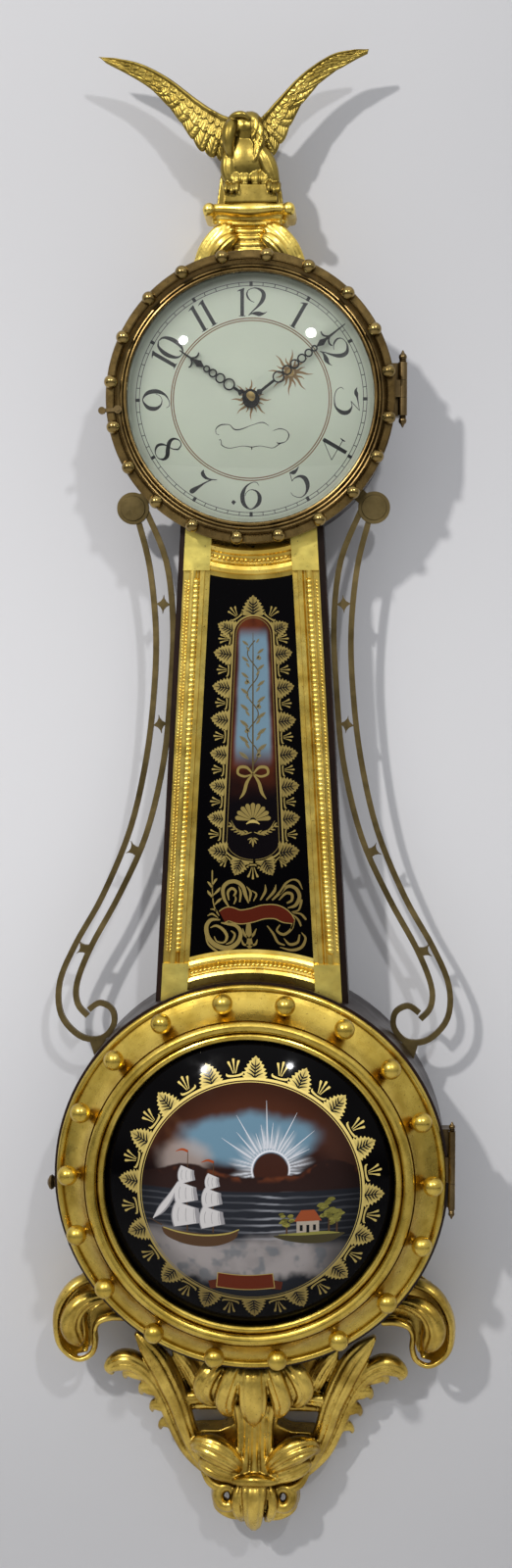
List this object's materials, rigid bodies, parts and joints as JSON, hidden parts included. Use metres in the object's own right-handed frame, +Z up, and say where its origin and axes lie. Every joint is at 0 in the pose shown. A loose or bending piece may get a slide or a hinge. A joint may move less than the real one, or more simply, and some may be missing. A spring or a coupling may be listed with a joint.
{
  "type": "girandole wall clock",
  "caption": "Wall clock with round head, tapered throat and round base, gilt frames, brass side arms, eagle finial, carved bracket and a weight driven movement.",
  "frame": {"origin": "centre of the hanging hole, at the back of the hanger plate, on the wall", "axes": "+Z up, +Y into the wall, +X to the right as seen from the front"},
  "size_m": [0.332, 0.1305, 1.1835],
  "materials": {
    "mahogany": "polished",
    "gilt": "burnished gold leaf",
    "brass": "satin",
    "aged_brass": "aged",
    "steel": "polished",
    "black_steel": "blued black",
    "dial_paint": "satin",
    "painted_glass": "reverse painted",
    "clear_glass": "clear",
    "cast_iron": "rough",
    "cord": "woven",
    "plain_wood": "unfinished"
  },
  "bodies": {
    "case": {"backboard": "mahogany", "hanger_plate": "brass", "head_case": "mahogany", "throat_sides": "mahogany", "base_case": "mahogany", "throat_stiles": "gilt", "throat_rail_top": "gilt", "throat_rail_bottom": "gilt", "throat_corner_blocks": "gilt", "throat_glass": "painted_glass", "hinge_case_leaves": "brass", "hinge_pins": "aged_brass", "dial": "dial_paint", "dial_feet": "brass", "back_plate": "brass", "front_plate": "brass", "plate_pillars": "brass", "suspension_bridge": "brass", "cord_lead": "cord", "weight_cord": "cord", "weight_baffle": "plain_wood", "side_arm_left": "aged_brass", "side_arm_right": "aged_brass", "eagle_body": "gilt", "eagle_wings": "gilt", "eagle_plinth": "gilt", "bracket_body": "gilt", "bracket_leaves": "gilt", "bracket_scrolls": "gilt", "bracket_drop": "gilt"},
    "base_door": {"base_door_frame": "gilt", "base_door_balls": "gilt", "base_door_glass": "painted_glass", "base_hinge_door_leaf": "brass", "base_door_keeper": "brass"},
    "base_lock": {"base_lock_knob": "aged_brass"},
    "bezel": {"bezel_ring": "aged_brass", "bezel_balls": "aged_brass", "bezel_glass": "clear_glass", "bezel_hinge_door_leaf": "brass"},
    "catch": {"bezel_catch": "aged_brass"},
    "minute": {"minute_hand": "black_steel", "cannon_pinion": "brass", "hand_nut": "brass"},
    "hour": {"hour_hand": "black_steel", "hour_wheel": "brass"},
    "motion": {"minute_wheel": "brass"},
    "great": {"great_wheel": "brass"},
    "drum": {"winding_drum": "brass"},
    "centre": {"centre_wheel": "brass"},
    "third": {"third_wheel": "brass"},
    "escape": {"escape_wheel": "brass"},
    "anchor": {"verge": "steel"},
    "pendulum": {"pendulum_rod": "brass"},
    "bob": {"pendulum_bob": "brass"},
    "nut": {"rating_nut": "brass"},
    "driving_weight": {"weight": "cast_iron"},
    "pulley": {"weight_pulley": "brass"}
  },
  "joints": [
    {"name": "base_door_hinge", "type": "hinge", "parent": "case", "child": "base_door", "pos_m": [0.1567, -0.0829, -0.665], "axis": [0, 0, 1], "range_deg": [0, 110]},
    {"name": "base_lock_turn", "type": "hinge", "parent": "case", "child": "base_lock", "pos_m": [-0.157, -0.068, -0.683], "axis": [-1, 0, 0], "range_deg": [0, 180]},
    {"name": "bezel_hinge", "type": "hinge", "parent": "case", "child": "bezel", "pos_m": [0.1155, -0.0766, -0.0635], "axis": [0, 0, 1], "range_deg": [0, 115]},
    {"name": "bezel_catch_turn", "type": "hinge", "parent": "bezel", "child": "catch", "pos_m": [-0.10063, -0.086, -0.07863], "axis": [0, -1, 0], "range_deg": [-30, 25]},
    {"name": "minute_hand_turn", "type": "hinge", "parent": "case", "child": "minute", "pos_m": [0, -0.07, -0.07], "axis": [0, 1, 0], "continuous": true},
    {"name": "hour_hand_turn", "type": "hinge", "parent": "case", "child": "hour", "pos_m": [0, -0.07, -0.07], "axis": [0, 1, 0], "continuous": true},
    {"name": "minute_wheel_turn", "type": "hinge", "parent": "case", "child": "motion", "pos_m": [-0.015, -0.05, -0.07], "axis": [0, 1, 0], "continuous": true},
    {"name": "escape_wheel_turn", "type": "hinge", "parent": "case", "child": "escape", "pos_m": [-0.006, -0.03, -0.039], "axis": [0, 1, 0], "continuous": true},
    {"name": "third_wheel_turn", "type": "hinge", "parent": "case", "child": "third", "pos_m": [-0.026, -0.03, -0.056], "axis": [0, 1, 0], "continuous": true},
    {"name": "centre_wheel_turn", "type": "hinge", "parent": "case", "child": "centre", "pos_m": [0, -0.03, -0.07], "axis": [0, 1, 0], "continuous": true},
    {"name": "great_wheel_turn", "type": "hinge", "parent": "case", "child": "great", "pos_m": [0.0301, -0.038, -0.0497], "axis": [0, 1, 0], "continuous": true},
    {"name": "weight_slide", "type": "slide", "parent": "case", "child": "driving_weight", "axis": [0, 0, 1], "range_m": [0, 0.36], "deforming": ["weight_cord"]},
    {"name": "drum_turn", "type": "hinge", "parent": "case", "child": "drum", "pos_m": [0.0301, -0.03, -0.0497], "axis": [0, 1, 0], "range_deg": [0, 3300]},
    {"name": "pulley_turn", "type": "hinge", "parent": "driving_weight", "child": "pulley", "pos_m": [0, -0.0285, -0.5232], "axis": [0, 1, 0], "range_deg": [0, 1200]},
    {"name": "pendulum_swing", "type": "hinge", "parent": "case", "child": "pendulum", "pos_m": [0, -0.057, -0.018], "axis": [0, 1, 0], "range_deg": [-3.3, 3.3]},
    {"name": "verge_rock", "type": "hinge", "parent": "case", "child": "anchor", "pos_m": [0, -0.031, -0.018], "axis": [0, 1, 0], "range_deg": [-3.3, 3.3]},
    {"name": "bob_slide", "type": "slide", "parent": "pendulum", "child": "bob", "axis": [0, 0, 1], "range_m": [-0.006, 0.006]},
    {"name": "rating_nut_turn", "type": "hinge", "parent": "bob", "child": "nut", "pos_m": [0, -0.057, -0.707], "axis": [0, 0, 1], "range_deg": [-3700, 3700]}
  ],
  "couplings": [
    {"joint": "hour_hand_turn", "follows": "minute_hand_turn", "ratio": 0.083333},
    {"joint": "minute_wheel_turn", "follows": "minute_hand_turn", "ratio": -0.33333},
    {"joint": "third_wheel_turn", "follows": "escape_wheel_turn", "ratio": -0.2},
    {"joint": "centre_wheel_turn", "follows": "escape_wheel_turn", "ratio": 0.022222},
    {"joint": "great_wheel_turn", "follows": "escape_wheel_turn", "ratio": -0.0018519},
    {"joint": "drum_turn", "follows": "weight_slide", "rad_per_m": 158.73},
    {"joint": "pulley_turn", "follows": "weight_slide", "rad_per_m": 57.143},
    {"joint": "verge_rock", "follows": "pendulum_swing", "ratio": 1},
    {"joint": "rating_nut_turn", "follows": "bob_slide", "rad_per_m": 10472}
  ]
}
